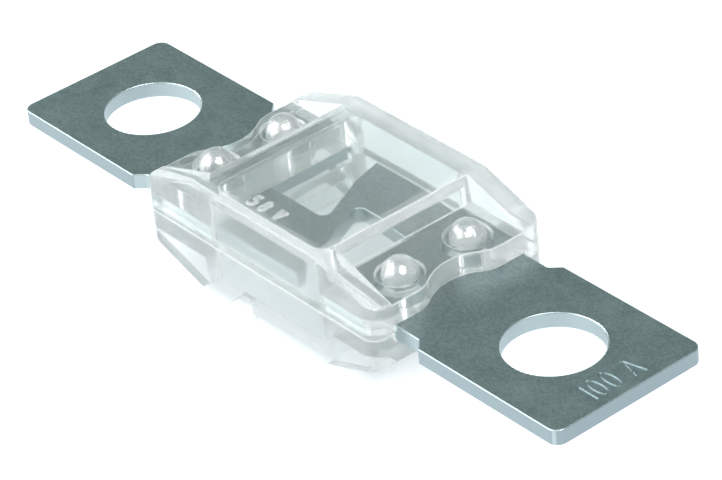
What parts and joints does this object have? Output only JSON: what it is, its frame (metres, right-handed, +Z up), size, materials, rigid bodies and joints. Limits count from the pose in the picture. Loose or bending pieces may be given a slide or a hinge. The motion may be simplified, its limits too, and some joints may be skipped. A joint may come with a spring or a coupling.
{
  "type": "bolt-down fuse",
  "caption": "Bolt-down high-current fuse: a flat metal strip with a holed terminal at each end and a slanted link, clamped in a clear plastic housing.",
  "frame": {"origin": "centre of the housing's flat base, midway between the two terminal holes", "axes": "+X along the strip towards the stamped terminal, +Y across it, +Z up through the window plate"},
  "size_m": [0.0682, 0.0182, 0.0104],
  "materials": {
    "plated_strip": "satin plated sheet",
    "clear_housing": "clear glossy moulded plastic"
  },
  "bodies": {
    "root": {"fuse_strip": "plated_strip", "upper_housing": "clear_housing", "lower_housing": "clear_housing"}
  },
  "joints": []
}
